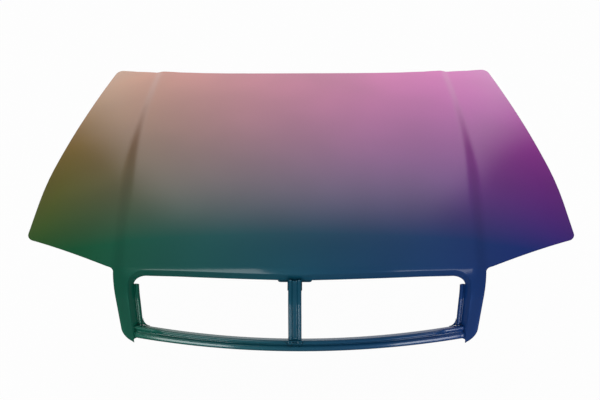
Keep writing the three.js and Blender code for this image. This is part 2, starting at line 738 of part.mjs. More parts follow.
// A corner plate with a hollow edge between an upright and the lower rail.
function gusset(side) {
  const corner = apertureSide(RAIL_TOP, 0) - UPRIGHT_WIDTH - GAP;
  const arc = range(0, Math.PI / 2, ARC_STEP).map((angle) => {
    return [corner - GUSSET + GUSSET * Math.sin(angle), -GUSSET + GUSSET * Math.cos(angle)];
  });
  const flat = [...arc, [corner, 0]].map(([x, up]) => [side * x, railTopAt(x) - GAP + up]);
  const top = -LIP_DEPTH - 2 * RAIL_SHEET;
  return bend(outwards(welded(prism(flat, top - RAIL_SHEET, top))));
}

// A flat rigid piece seated on the panel at [x, s, w], its own Y forward and its own Z out.
function seated(geometry, x, s, w, reachX, reachS) {
  const across = bent(x + reachX, s, w).sub(bent(x - reachX, s, w)).normalize();
  const along = bent(x, s + reachS, w).sub(bent(x, s - reachS, w)).normalize();
  const out = along.clone().cross(across).normalize();
  const forward = across.clone().cross(out).negate();
  const place = bent(x, s, w).sub(latchSeat);
  const turned = new THREE.Matrix4().makeBasis(across, forward, out).setPosition(place);
  const fixed = outwards(welded(geometry).applyMatrix4(turned));
  fixed.computeVertexNormals();
  return fixed;
}

function hingePlate(side) {
  const holes = [-1, 1].map((end) => circle(0, (end * HINGE_BOLT_PITCH) / 2, BOLT_HOLE_RADIUS));
  const plate = prism(box(0, HINGE_WIDTH, -HINGE_LENGTH / 2, HINGE_LENGTH / 2), -PLATE_SHEET, 0, holes);
  return seated(plate, side * HINGE_X, HINGE_S, FRAME_UNDER - HINGE_GAP, HINGE_WIDTH / 2, HINGE_LENGTH / 2);
}

function nut(across, along) {
  const bore = circle(across, along, NUT_BORE_RADIUS);
  return prism(circle(across, along, NUT_RADIUS, NUT_SIDES), GAP, GAP + NUT_HEIGHT, [bore]);
}

function pad(side, index, edgeShare, s) {
  const [inner, outer, outerFront] = windowCorners(index);
  const drawn = THREE.MathUtils.mapLinear(s, inner[1], outerFront[1], 1, WINDOW_DRAW_IN);
  const onLand = DRAFT + LAND / 2;
  const x = edgeShare < 0 ? inner[0] * drawn + onLand : outer[0] * drawn - onLand;
  const flat = box(side * x, PAD_WIDTH, s - PAD_LENGTH / 2, s + PAD_LENGTH / 2);
  return bend(outwards(welded(prism(flat, -LAND_DEPTH + GAP, -SKIN - GAP))));
}

const paint = new THREE.MeshStandardMaterial({ color: 0x806c80, roughness: 0.35, metalness: 0.6 });
const zinc = new THREE.MeshStandardMaterial({ color: 0x9a9a94, roughness: 0.4, metalness: 0.8 });
const mastic = new THREE.MeshStandardMaterial({ color: 0x2c2a28, roughness: 0.9, metalness: 0 });

const group = new THREE.Group();

function piece(name, geometry, material) {
  const mesh = new THREE.Mesh(geometry, material);
  mesh.name = name;
  group.add(mesh);
}

piece("outer_skin", outerSkin(), paint);
piece("inner_frame", innerFrame(), paint);
piece("grille_lower_rail", lowerRail(), paint);
piece("centre_strut", centreStrut(), paint);
piece("strut_bracket", strutBracket(), paint);
piece("latch_reinforcement", latchPlate(), paint);
for (const { side, hand } of sides) {
  piece(`grille_upright_${hand}`, upright(side), paint);
  piece(`corner_gusset_${hand}`, gusset(side), paint);
  piece(`hinge_reinforcement_${hand}`, hingePlate(side), paint);
  for (let index = 0; index < WINDOWS; index += 1) {
    [-1, 1].forEach((edge, i) => {
      piece(`mastic_pad_${hand}_${2 * index + i + 1}`, pad(side, index, edge, PADS_AT[i]), mastic);
    });
  }
}
for (const { name, side, along } of hingeBolts) {
  const at = [side * HINGE_X, HINGE_S, FRAME_UNDER - HINGE_GAP];
  piece(name, seated(nut(0, along), ...at, HINGE_WIDTH / 2, HINGE_LENGTH / 2), zinc);
}
for (const { name, across } of latchBolts) {
  const reach = LATCH_BOLT_PITCH / 2;
  piece(name, seated(nut(across, 0), LATCH_X, LATCH_BOLT_AT, LATCH_TOP, reach, reach), zinc);
}

export default group;
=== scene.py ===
import math

import bmesh
import bpy
from bpy.props import FloatProperty, FloatVectorProperty, PointerProperty
from mathutils import Matrix, Vector


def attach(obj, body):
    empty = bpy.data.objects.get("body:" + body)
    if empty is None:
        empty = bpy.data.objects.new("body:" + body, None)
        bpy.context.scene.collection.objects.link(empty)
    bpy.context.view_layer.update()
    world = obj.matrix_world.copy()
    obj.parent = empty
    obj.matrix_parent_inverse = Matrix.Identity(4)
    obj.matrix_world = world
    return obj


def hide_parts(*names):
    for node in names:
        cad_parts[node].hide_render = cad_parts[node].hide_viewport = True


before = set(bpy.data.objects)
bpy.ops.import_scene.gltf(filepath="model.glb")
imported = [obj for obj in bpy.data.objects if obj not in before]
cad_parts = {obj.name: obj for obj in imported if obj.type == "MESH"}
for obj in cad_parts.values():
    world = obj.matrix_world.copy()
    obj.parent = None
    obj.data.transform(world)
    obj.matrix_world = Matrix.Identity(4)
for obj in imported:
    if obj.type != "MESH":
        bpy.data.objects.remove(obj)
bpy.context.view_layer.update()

bl_info = {
    "name": "Car bonnet",
    "version": (1, 0, 0),
    "blender": (4, 5, 0),
    "location": "3D View > Sidebar > Bonnet",
    "description": "Builds a bare car bonnet: skin, stamped frame and grille surround",
    "category": "Object",
}

# The panel's shape, in metres.
# Every sheet is laid out flat as (x across, s forward, w out) and then bent.
REAR_SLOPE = math.radians(7)
FRONT_SLOPE = math.radians(17)
FACE_SLOPE = math.radians(72)
PANEL_LENGTH = 0.85
NOSE_RADIUS = 0.105
NOSE_ARC = NOSE_RADIUS * (FACE_SLOPE - FRONT_SLOPE)
CROWN = 0.08
SHOULDER_FROM = 0.425
SHOULDER_CROWN = 0.266
NOSE_SWEEP = 0.12
SWEEP_FROM = 0.3
CREASE_REAR = 0.466
CREASE_DRAW_IN = 0.064
CREASE_CURVE = 2.2
STRIKER_SEAT = Vector((-0.0000057, -0.787398, -0.186186))

# Outline of the skin: _HALF is a distance from the centre line, _AT a place along it, _ROUND a radius.
REAR_EDGE = -0.018
REAR_BOW = 0.146
REAR_HALF = 0.648
REAR_POINTS = 8
FLANK_HALF = 0.6816
FLANK_AT = 0.2476
WIDEST_HALF = 0.7
WIDEST_AT = 0.52
CORNER_HALF = 0.692
CORNER_AT = 0.75
ROOT_HALF = 0.432
ROOT_AT = 0.858
LEG_HALF = 0.409
LEG_END = 1.036
TIP_HALF = 0.38
TIP_END = 1.051
APERTURE_HALF = 0.391
APERTURE_AT = 0.867
LIP_STRAIGHT = 0.287
LIP_CENTRE = 0.875
REAR_ROUND = 0.018
CORNER_ROUND = 0.03
FLANK_ROUND = 3.0
WIDEST_ROUND = 1.5
ROOT_ROUND = 0.022
LEG_ROUND = 0.031
TIP_ROUND = 0.007
APERTURE_ROUND = 0.036
LIP_ROUND = 1.5

# Grille surround: _LEVEL is a height over the flat sheet.
RAIL_TOP = 1.029
RAIL_LIFT = 0.0196
RAIL_BACK_LEVEL = -0.019
RAIL_RIDGE_LEVEL = -0.003
RAIL_GROOVE_LEVEL = -0.008
RAIL_CREST_LEVEL = -0.002
RAIL_FLAT_FROM = 0.312
RAIL_FLAT_LEVEL = -0.0065
RAIL_FLAT_BAND = 0.02
RAIL_FLARE = 0.12
RAIL_HEAD = 0.007
RAIL_ENDS_FROM = 0.8
UPRIGHT_START = 0.9
UPRIGHT_WIDTH = 0.017
UPRIGHT_FRONT_LEVEL = -0.0048
UPRIGHT_BEAD = 0.004
UPRIGHT_FOLD = 0.0025
UPRIGHT_OVERLAP = 0.0035
STRUT_BACK_LEVEL = -0.021
STRUT_EDGE_LEVEL = -0.008
STRUT_RIDGE_LEVEL = -0.005
STRUT_GROOVE_LEVEL = -0.01
FOOT_TAB = 0.011
FOOT_TAB_LEVEL = -0.0017
BRACKET_REACH = 0.024
BRACKET_BASE_LEVEL = -0.0219
BRACKET_TOP_LEVEL = -0.009
GUSSET = 0.016

# Latch and hinges
LATCH_X = -0.009
LATCH_FRONT = 0.884
LATCH_PLATE_REAR = 0.778
LATCH_PLATE_WIDTH = 0.078
LATCH_LEVEL = -0.02
LATCH_BOLT_AT = 0.812
LATCH_BOLT_PITCH = 0.056
HINGE_X = 0.56
HINGE_S = -0.03
HINGE_WIDTH = 0.06
HINGE_LENGTH = 0.11
HINGE_BOLT_PITCH = 0.06
HINGE_GAP = 0.001
BOLT_SEAT = 0.0095
BOLT_HOLE = 0.0045

# Weld nuts
NUT_CORNER = 0.009
NUT_TOP = 0.0081
NUT_HEIGHT = 0.008
NUT_CHAMFER = 0.0007
BORE_CHAMFER = 0.0005
THREAD_ROOT = 0.0042
THREAD_CREST = 0.0036
THREAD_PITCH = 0.00125
NUT_CLEARANCE = 0.012

# Inner frame and mastic pads
FLOOR_ROUND = 0.045
FRAME_BEYOND = 0.96
FRAME_LEG_ROUND = 0.032
LAND_LEVEL = -0.005
WINDOW_WIDTH = 0.125
WINDOW_PITCH = 0.181
WINDOW_INNER = 0.028
WINDOW_REAR = 0.07
WINDOW_FRONT = 0.64
WINDOW_ROUND = 0.03
WINDOW_STAGGER = 0.014
WINDOW_DRAW_IN = 0.9
PADS_AT = (0.23, 0.5)
PAD_WIDTH = 0.008
PAD_LENGTH = 0.04
PAD_ROUND = 0.0036

# Sheets and gaps
FRAME_SHEET = 0.0007
RAIL_SHEET = 0.0012
PLATE_SHEET = 0.002
GAP = 0.0003
STATION = 0.006
LEAST_ARC = 0.0005
JOIN_WITHIN = 0.00002
SMOOTH_UP_TO = math.radians(38)

# Looks. Directions in the studio's reflection are parts of a unit vector.
# The paint fades between its corner colours over these spans; the fade is the paint's own colour shift and
# also painted shade, darker towards the front.
FADE_HALF = 0.65
FADE_REAR = 0.84
FADE_FRONT = 0.05
NOISE_LOW = 0.3
NOISE_HIGH = 0.7
DAYLIGHT = 0.72
MIRRORED_FROM = 0.41
MIRRORED_FULL = 0.57
MIRRORED_WIDE = 0.82
MIRRORED_NARROW = 0.52
MIRRORED_DARK = 0.09
MIRRORED_BRIGHT = 1.15
FLOOR_CENTRE = (0, 1.5, -0.75)
FLOOR_HALF = 8
FLOOR_WHITE = 0.96
FLOOR_MIRRORED = 0.12

# Soft lights, as name, place, target, side in metres and power in watts
LIGHTS = (
    ("left overhead", (-0.7, -0.1, 2.0), (0, 0, 0), 0.9, 6),
    ("right overhead", (1.0, -0.05, 2.0), (0, 0, 0), 0.6, 2.5),
    ("left front", (-1.35, -3.2, -0.22), (-0.25, -0.1, -0.15), 0.95, 20),
    ("right front", (1.5, -3.2, -0.25), (0.25, -0.1, -0.15), 0.8, 14),
)

CAMERA_PLACE = (0.02007, -1.24044, 0.84452)
CAMERA_PITCH = math.radians(29)
CAMERA_YAW = math.radians(-0.781)
CAMERA_ROLL = math.radians(-0.43)
CAMERA_LENS = 38.4


def smooth(t):
    """An even rise from 0 to 1, flat at both ends."""
    t = min(max(t, 0.0), 1.0)
    return t * t * (3 - 2 * t)


def panel_sizes():
    return bpy.context.scene.bonnet_sizes


def crease_at(s):
    return CREASE_REAR - CREASE_DRAW_IN * (max(s, 0.0) / LIP_CENTRE) ** CREASE_CURVE


def centre_line(s):
    """How far forward, how high and how steep the panel's centre line is after a length s."""
    bend = (FRONT_SLOPE - REAR_SLOPE) / PANEL_LENGTH
    panel_slope = REAR_SLOPE + bend * min(s, PANEL_LENGTH)
    forward = (math.sin(panel_slope) - math.sin(REAR_SLOPE)) / bend
    height = (math.cos(panel_slope) - math.cos(REAR_SLOPE)) / bend
    slope = panel_slope + min(max(s - PANEL_LENGTH, 0.0), NOSE_ARC) / NOSE_RADIUS
    forward += NOSE_RADIUS * (math.sin(slope) - math.sin(panel_slope))
    height += NOSE_RADIUS * (math.cos(slope) - math.cos(panel_slope))
    straight = max(s - PANEL_LENGTH - NOSE_ARC, 0.0)
    return forward + straight * math.cos(FACE_SLOPE), height - straight * math.sin(FACE_SLOPE), slope


def skin_point(x, s):
    """A point on the outside of the panel."""
    sizes = panel_sizes()
    forward, height, slope = centre_line(s)
    across = abs(x)
    step = sizes.crease_step * smooth((across - crease_at(s)) / sizes.crease_band)
    shoulder = max(across - SHOULDER_FROM, 0.0)
    drop = CROWN * across**2 + SHOULDER_CROWN * shoulder**2 + step
    back = NOSE_SWEEP * across**2 * smooth((s - SWEEP_FROM) / (PANEL_LENGTH - SWEEP_FROM))
    return Vector((x, drop * math.sin(slope) - forward + back, height - drop * math.cos(slope)))


def bent(x, s, w):
    """A flat point, w outside the panel, bent onto it and moved to the frame's place."""
    reach = 0.001
    across = skin_point(x + reach, s) - skin_point(x - reach, s)
    along = skin_point(x, s + reach) - skin_point(x, s - reach)
    normal = along.cross(across).normalized()
    return skin_point(x, s) + normal * w - STRIKER_SEAT


def mirrored(points):
    return [(-x, *rest) for x, *rest in reversed(points)]


def even(low, high, step):
    """Values from low to high, as evenly spaced as step allows."""
    count = max(1, round((high - low) / step))
    return [low + (high - low) * i / count for i in range(count + 1)]


def aperture_side(s):
    share = (TIP_END - s) / (TIP_END - APERTURE_AT)
    return TIP_HALF + (APERTURE_HALF - TIP_HALF) * share


def lip_side(s, w):
    """Distance of the leaning lip from the centre line, at a depth."""
    sizes = panel_sizes()
    share = -w / (sizes.lip_depth - sizes.skin_sheet)
    return aperture_side(s) - sizes.lip_lean * min(max(share, 0.0), 1.0)


def rail_top_at(x):
    return RAIL_TOP - RAIL_LIFT * (x / APERTURE_HALF) ** 2


def rear_edge_at(share):
    return REAR_EDGE - REAR_BOW * (0.49 * share**2 + 0.51 * share**4)


def rear_and_sides(least=0.0):
    """Right half of the outline, from the rear edge's centre to the root of the leg, as x, s, radius."""
    shares = [i / REAR_POINTS for i in range(REAR_POINTS)]
    return [(REAR_HALF * share, rear_edge_at(share), 0) for share in shares] + [
        (REAR_HALF, REAR_EDGE - REAR_BOW, max(REAR_ROUND, least)),
        (FLANK_HALF, FLANK_AT, FLANK_ROUND),
        (WIDEST_HALF, WIDEST_AT, WIDEST_ROUND),
        (CORNER_HALF, CORNER_AT, max(CORNER_ROUND, least)),
        (ROOT_HALF, ROOT_AT, ROOT_ROUND),
    ]


def leg_and_aperture():
    return [
        (LEG_HALF, LEG_END, LEG_ROUND),
        (TIP_HALF, TIP_END, TIP_ROUND),
        (APERTURE_HALF, APERTURE_AT, APERTURE_ROUND),
        (LIP_STRAIGHT, APERTURE_AT, LIP_ROUND),
    ]


def blank(bm, corners):
    """A flat face through x, s, radius corners, each rounded."""
    others = set(bm.faces)
    verts = [bm.verts.new((x, s, 0)) for x, s, _ in corners]
    bm.faces.new(verts)
    count = len(corners)
    rounds = []
    for i, (x, s, radius) in enumerate(corners):
        here = Vector((x, s))
        before = (Vector(corners[i - 1][:2]) - here).normalized()
        after = (Vector(corners[(i + 1) % count][:2]) - here).normalized()
        turn = math.pi - before.angle(after)
        if radius * turn > LEAST_ARC:
            segments = max(3, round(turn / math.radians(7)))
            rounds.append((verts[i], radius * math.tan(turn / 2), segments))
    for vert, set_back, segments in rounds:
        bmesh.ops.bevel(bm, geom=[vert], offset=set_back, offset_type="OFFSET", affect="VERTICES",
                        segments=segments, profile=0.5, material=-1)
    return next(face for face in bm.faces if face not in others)


def set_level(face, level):
    for vert in face.verts:
        vert.co.z = level


def ring_edges(verts):
    return list({edge for vert in verts for edge in vert.link_edges})


def pressed(bm, face, profile):
    """Insets a face through (run, level) steps, as a press draws a sheet."""
    for run, level in profile:
        bmesh.ops.inset_region(bm, faces=[face], thickness=run, use_even_offset=True, use_boundary=True)
        set_level(face, level)


def drawn_wall(run, start, end, steps=6):
    """Steps of a drawn wall, rounded at its top and foot."""
    return [(run / steps, start + (end - start) * smooth(i / steps)) for i in range(1, steps + 1)]


def cut_at(bm, across=(), along=()):
    """Cuts a flat sheet along lines, so that it can bend there."""
    for co, no in [((x, 0, 0), (1, 0, 0)) for x in across] + [((0, s, 0), (0, 1, 0)) for s in along]:
        geom = bm.verts[:] + bm.edges[:] + bm.faces[:]
        bmesh.ops.bisect_plane(bm, geom=geom, dist=0.0002, plane_co=co, plane_no=no)


def columns(crease=0.0075, plain=0.02, outer=0.015):
    """Lines across the panel, closest together at the creases."""
    half = even(0, 0.395, plain) + even(0.395, 0.515, crease)[1:] + even(0.515, 0.71, outer)[1:]
    return [-x for x in reversed(half[1:])] + half


def rows(nose=0.007, plain=0.02, face=0.012):
    """Lines along the panel, closest together round the nose."""
    nose_end = PANEL_LENGTH + NOSE_ARC
    panel = even(-0.17, PANEL_LENGTH, plain)
    return panel + even(PANEL_LENGTH, nose_end, nose)[1:] + even(nose_end, 1.06, face)[1:]


def extruded(bm, edges, notes, place):
    """Extrudes edges once. Each new vertex keeps its source's note and goes where place puts it."""
    made = bmesh.ops.extrude_edge_only(bm, edges=edges)["geom"]
    new_notes = {}
    for vert in (g for g in made if isinstance(g, bmesh.types.BMVert)):
        source = next(e.other_vert(vert) for e in vert.link_edges if e.other_vert(vert) in notes)
        new_notes[vert] = notes[source]
        vert.co = place(notes[source])
    made_edges = [g for g in made if isinstance(g, bmesh.types.BMEdge)]
    return [edge for edge in made_edges if all(v in new_notes for v in edge.verts)], new_notes


def folded(bm, edges, profile):
    """Folds boundary edges through (reach, level) steps; reach is measured into the sheet."""
    chosen = set(edges)
    notes = {}
    for vert in {v for e in edges for v in e.verts}:
        sides = []
        for edge in (e for e in vert.link_edges if e in chosen):
            along = (edge.other_vert(vert).co - vert.co).xy.normalized()
            across = Vector((-along.y, along.x))
            inward = edge.link_faces[0].calc_center_median().xy - vert.co.xy
            sides.append(across if across.dot(inward) > 0 else -across)
        mitre = sum(sides, Vector((0, 0))).normalized()
        notes[vert] = (vert.co.xy.copy(), mitre / max(mitre.dot(sides[0]), 0.3))
    for reach, level in profile:
        edges, notes = extruded(bm, edges, notes, lambda note: (*(note[0] + note[1] * reach), level))


def swept(bm, line, stations, place):
    """A folded section run through stations; place(station, across, w) gives each flat point."""
    first = [bm.verts.new(place(stations[0], *point)) for point in line]
    edges = [bm.edges.new(pair) for pair in zip(first, first[1:])]
    notes = dict(zip(first, line))
    for station in stations[1:]:
        edges, notes = extruded(bm, edges, notes, lambda point: place(station, *point))


def soften_folds(bm, radius, least=math.radians(14)):
    folds = [e for e in bm.edges if len(e.link_faces) == 2 and e.calc_face_angle() > least]
    bmesh.ops.bevel(bm, geom=folds, offset=radius, offset_type="OFFSET", affect="EDGES",
                    segments=3, profile=0.5, material=-1)


def seat(x, s, w, reach_x, reach_s):
    """Where a rigid flat piece sits on the panel; its own Z points out."""
    across = (bent(x + reach_x, s, w) - bent(x - reach_x, s, w)).normalized()
    along = (bent(x, s + reach_s, w) - bent(x, s - reach_s, w)).normalized()
    out = along.cross(across).normalized()
    turn = Matrix((across, out.cross(across), out)).transposed().to_4x4()
    return Matrix.Translation(bent(x, s, w)) @ turn


def rounded_box(middle, width, rear, front, radius):
    left, right = middle - width / 2, middle + width / 2
    return [(left, rear, radius), (right, rear, radius), (right, front, radius), (left, front, radius)]


def drilled_plate(bm, corners, holes, level):
    """A flat plate with round bolt holes, each in a shallow pressed seat."""
    face = blank(bm, corners)
    set_level(face, level)
    edges = list(face.edges)
    bmesh.ops.delete(bm, geom=[face], context="FACES_ONLY")
    seats = []
    for x, s in holes:
        others = set(bm.faces)
        place = Matrix.Translation((x, s, level))
        ring = bmesh.ops.create_circle(bm, segments=32, radius=BOLT_SEAT, cap_ends=True, matrix=place)
        edges += ring_edges(ring["verts"])
        seats.append(next(f for f in bm.faces if f not in others))
    bmesh.ops.triangle_fill(bm, edges=edges, use_beauty=True)
    for face in seats:
        wall = 0.0012
        pressed(bm, face, [(wall, level + 0.0005), (BOLT_SEAT - BOLT_HOLE - wall, level + 0.0005)])
    bmesh.ops.delete(bm, geom=seats, context="FACES_ONLY")


def weld_nut(bm, x, y):
    """A chamfered six-sided nut with a threaded bore, standing on its plate."""
    ring = bmesh.ops.create_circle(bm, segments=48, radius=THREAD_ROOT)["verts"]
    notes = {vert: math.atan2(vert.co.y, vert.co.x) for vert in ring}
    edges = ring_edges(ring)
    flat = math.radians(60)

    def place(angle, most, height):
        reach = min(most, NUT_CORNER * math.cos(flat / 2) / math.cos(angle % flat - flat / 2))
        return (x + reach * math.cos(angle), y + reach * math.sin(angle), GAP + height)

    outside = [(NUT_CORNER, 0.0), (NUT_CORNER, NUT_HEIGHT - NUT_CHAMFER), (NUT_TOP, NUT_HEIGHT)]
    turns = range(round(NUT_HEIGHT / THREAD_PITCH * 2))
    depths = [NUT_HEIGHT - (i + 0.5) * THREAD_PITCH / 2 for i in turns]
    thread = [(THREAD_ROOT if i % 2 else THREAD_CREST, depths[i]) for i in turns]
    steps = outside + [(THREAD_ROOT + BORE_CHAMFER, NUT_HEIGHT)] + thread + [(THREAD_ROOT, 0.0)]
    for radius, height in steps:
        edges, notes = extruded(bm, edges, notes, lambda angle: place(angle, radius, height))
    bmesh.ops.translate(bm, verts=ring, vec=(x, y, GAP))


def finished(bm, name, material, nodes, sheet=0.0, offset=0.0, bend=True, even_shading=True,
             even_offset=True):
    """Bends a flat sheet onto the panel, makes it an object and gives it its thickness."""
    bmesh.ops.remove_doubles(bm, verts=bm.verts[:], dist=JOIN_WITHIN)
    if bend:
        for vert in bm.verts:
            vert.co = bent(*vert.co)
    bmesh.ops.recalc_face_normals(bm, faces=bm.faces[:])
    if sheet:
        largest = max(bm.faces, key=lambda face: face.calc_area())
        if largest.normal.z <= 0:
            bmesh.ops.reverse_faces(bm, faces=bm.faces[:])
    for face in bm.faces:
        face.smooth = True
    mesh = bpy.data.meshes.new(name)
    bm.to_mesh(mesh)
    bm.free()
    mesh.set_sharp_from_angle(angle=SMOOTH_UP_TO)
    mesh.materials.append(material_named(material))
    piece = bpy.data.objects.new(name, mesh)
    bpy.context.scene.collection.objects.link(piece)
    if sheet:
        thick = piece.modifiers.new("sheet", "SOLIDIFY")
        thick.thickness = sheet
        thick.offset = offset
        thick.use_even_offset = even_offset
    if even_shading:
        weighted = piece.modifiers.new("even shading", "WEIGHTED_NORMAL")
        weighted.keep_sharp = True
    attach(piece, "root")
    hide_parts(*nodes)


def length_property(name, description, default, precision=4):
    return FloatProperty(name=name, description=description, default=default, unit="LENGTH",
                         precision=precision)


def colour_property(name, description, default):
    return FloatVectorProperty(name=name, description=description, default=default, subtype="COLOR",
                               size=3, min=0, max=1)


class BonnetSizes(bpy.types.PropertyGroup):
    """Sizes of the pressed sheets."""

    skin_sheet: length_property("Skin sheet", "Thickness of the outer skin", 0.0008)
    edge_roll: length_property("Edge roll", "Radius of the skin's rolled edge", 0.00145)
    lip_fold: length_property("Lip fold", "Radius of the fold into the grille aperture", 0.0055)
    hem: length_property("Hem", "Width of the skin's hem return", 0.01)
    crease_step: length_property("Crease step", "The panel outside the creases lies lower by this", 0.005)
    crease_band: length_property("Crease band", "Width of each crease", 0.03, precision=3)
    lip_lean: length_property("Lip lean", "The turned-in lip leans into the aperture by this", 0.006)
    lip_depth: length_property("Lip depth", "Depth of the turned-in lip", 0.0174)
    frame_depth: length_property("Frame depth", "The frame's ribs lie this far under the panel", 0.018,
                                 precision=3)
    flange: length_property("Flange", "Width of the frame's edge flange", 0.022, precision=3)
    draft: length_property("Draft", "Run of the frame's drawn walls", 0.011, precision=3)
    land: length_property("Land", "Width of the lands round the frame's windows", 0.012, precision=3)
    rail_height: length_property("Rail height", "Height of the grille's lower rail", 0.025, precision=3)
    strut_width: length_property("Strut width", "Width of the centre strut", 0.03, precision=3)
    fold_radius: length_property("Fold radius", "Softness of the folds in the grille surround", 0.0012)


class BonnetColours(bpy.types.PropertyGroup):
    """Colours of the fading candy paint and the small parts; the paint's four corners also hold painted
    shade, bright at the rear and dark at the front.
    """

    # Corner colours: the paint's own hues plus painted shade, the rear ones bright and the front ones dark.
    rear_left: colour_property("Rear left", "Paint at the rear left corner", (0.48, 0.18, 0.03))
    rear_right: colour_property("Rear right", "Paint at the rear right corner", (0.65, 0.02, 0.46))
    front_left: colour_property("Front left", "Paint at the front left corner", (0.001, 0.125, 0.022))
    front_right: colour_property("Front right", "Paint at the front right corner", (0.006, 0.02, 0.23))
    zinc: colour_property("Zinc", "Plating of the weld nuts", (0.45, 0.43, 0.38))
    mastic: colour_property("Mastic", "Colour of the mastic pads", (0.03, 0.028, 0.026))


def node(tree, kind, inputs=(), **settings):
    """A node with its settings made and its sockets given a value or another node's socket."""
    made = tree.nodes.new(kind)
    for key, value in settings.items():
        setattr(made, key, value)
    for key, value in dict(inputs).items():
        give(tree, made, key, value)
    return made


def give(tree, receiver, key, value):
    if isinstance(value, bpy.types.NodeSocket):
        tree.links.new(value, receiver.inputs[key])
    else:
        receiver.inputs[key].default_value = value


def new_material(name):
    material = bpy.data.materials.new(name)
    material.use_nodes = True
    tree = material.node_tree
    return material, tree, tree.nodes["Principled BSDF"]


def mixed(tree, factor, first, second, blend="MIX"):
    """A colour mix; the sockets of a colour Mix node are 0, 6 and 7."""
    mix = node(tree, "ShaderNodeMix", {0: factor, 6: first, 7: second}, data_type="RGBA", blend_type=blend)
    return mix.outputs[2]


def ranged(tree, value, start, end, low=0.0, high=1.0, **settings):
    """A value mapped from start..end to low..high."""
    inputs = {"Value": value, "From Min": start, "From Max": end, "To Min": low, "To Max": high}
    return node(tree, "ShaderNodeMapRange", inputs, **settings).outputs["Result"]


def noise(tree, place, scale, detail):
    inputs = {"Vector": place, "Scale": scale, "Detail": detail}
    return node(tree, "ShaderNodeTexNoise", inputs).outputs["Fac"]


def calculated(tree, operation, *values):
    return node(tree, "ShaderNodeMath", enumerate(values), operation=operation).outputs[0]


def bumped(tree, height, strength, distance):
    inputs = {"Height": height, "Strength": strength, "Distance": distance}
    return node(tree, "ShaderNodeBump", inputs).outputs["Normal"]


def shade_of(colour, factor):
    return (*[factor * channel for channel in colour], 1)


def paint(name, shade=1.0, rough=0.42, metallic=0.35, coat=1.0):
    """Candy paint whose hue fades across and along the bonnet, with painted shade in its colours: bright at
    the rear, dark at the front.
    """
    colours = bpy.context.scene.bonnet_colours
    material, tree, shader = new_material(name)
    place = node(tree, "ShaderNodeTexCoord").outputs["Object"]
    axes = node(tree, "ShaderNodeSeparateXYZ", {"Vector": place})
    across = ranged(tree, axes.outputs["X"], -FADE_HALF, FADE_HALF)
    along = ranged(tree, axes.outputs["Y"], FADE_REAR, FADE_FRONT)
    rear = mixed(tree, across, (*colours.rear_left, 1), (*colours.rear_right, 1))
    front = mixed(tree, across, (*colours.front_left, 1), (*colours.front_right, 1))
    # Painted shade as well as the paint's hue shift: the mix runs from bright rear colours to dark front
    # ones.
    fade_and_painted_shade = mixed(tree, along, rear, front)
    cloud = ranged(tree, noise(tree, place, 2.6, 2.0), NOISE_LOW, NOISE_HIGH, 0.86 * shade, 1.12 * shade)
    flake = ranged(tree, noise(tree, place, 1400.0, 1.0), NOISE_LOW, NOISE_HIGH, 0.93, 1.07)
    toned = mixed(tree, 1.0, fade_and_painted_shade, cloud, blend="MULTIPLY")
    give(tree, shader, "Base Color", mixed(tree, 1.0, toned, flake, blend="MULTIPLY"))
    give(tree, shader, "Normal", bumped(tree, noise(tree, place, 160.0, 2.0), 0.06, 0.0006))
    give(tree, shader, "Metallic", metallic)
    give(tree, shader, "Roughness", rough)
    give(tree, shader, "Coat Weight", coat)
    give(tree, shader, "Coat Roughness", 0.11)
    give(tree, shader, "Specular IOR Level", 0.2)
    return material


def zinc_plating(name):
    material, tree, shader = new_material(name)
    place = node(tree, "ShaderNodeTexCoord").outputs["Object"]
    cloud = noise(tree, place, 300.0, 4.0)
    colour = bpy.context.scene.bonnet_colours.zinc
    give(tree, shader, "Base Color", mixed(tree, cloud, shade_of(colour, 0.6), shade_of(colour, 1)))
    give(tree, shader, "Roughness", ranged(tree, cloud, 0.0, 1.0, 0.3, 0.6))
    give(tree, shader, "Metallic", 1.0)
    return material


def mastic(name):
    material, tree, shader = new_material(name)
    place = node(tree, "ShaderNodeTexCoord").outputs["Object"]
    grain = noise(tree, place, 500.0, 5.0)
    colour = bpy.context.scene.bonnet_colours.mastic
    give(tree, shader, "Base Color", mixed(tree, grain, shade_of(colour, 1), shade_of(colour, 1.8)))
    give(tree, shader, "Normal", bumped(tree, grain, 0.4, 0.0008))
    give(tree, shader, "Roughness", 0.8)
    return material


def inner_paint(name):
    return paint(name, shade=0.8, rough=0.5, metallic=0.3, coat=0.3)


MATERIALS = {"skin paint": paint, "inner paint": inner_paint, "zinc plating": zinc_plating, "mastic": mastic}


def material_named(name):
    """The material of that name, made the first time it is asked for."""
    return bpy.data.materials.get(name) or MATERIALS[name](name)


def boundary(bm, chosen):
    return [e for e in bm.edges if e.is_boundary and all(chosen(v.co) for v in e.verts)]


def beside_aperture(co, inset=0.0):
    """Whether a point lies on the aperture's edge, or on a ring inset from it."""
    return co.y > ROOT_AT and abs(co.x) <= aperture_side(co.y) + inset + 0.0004


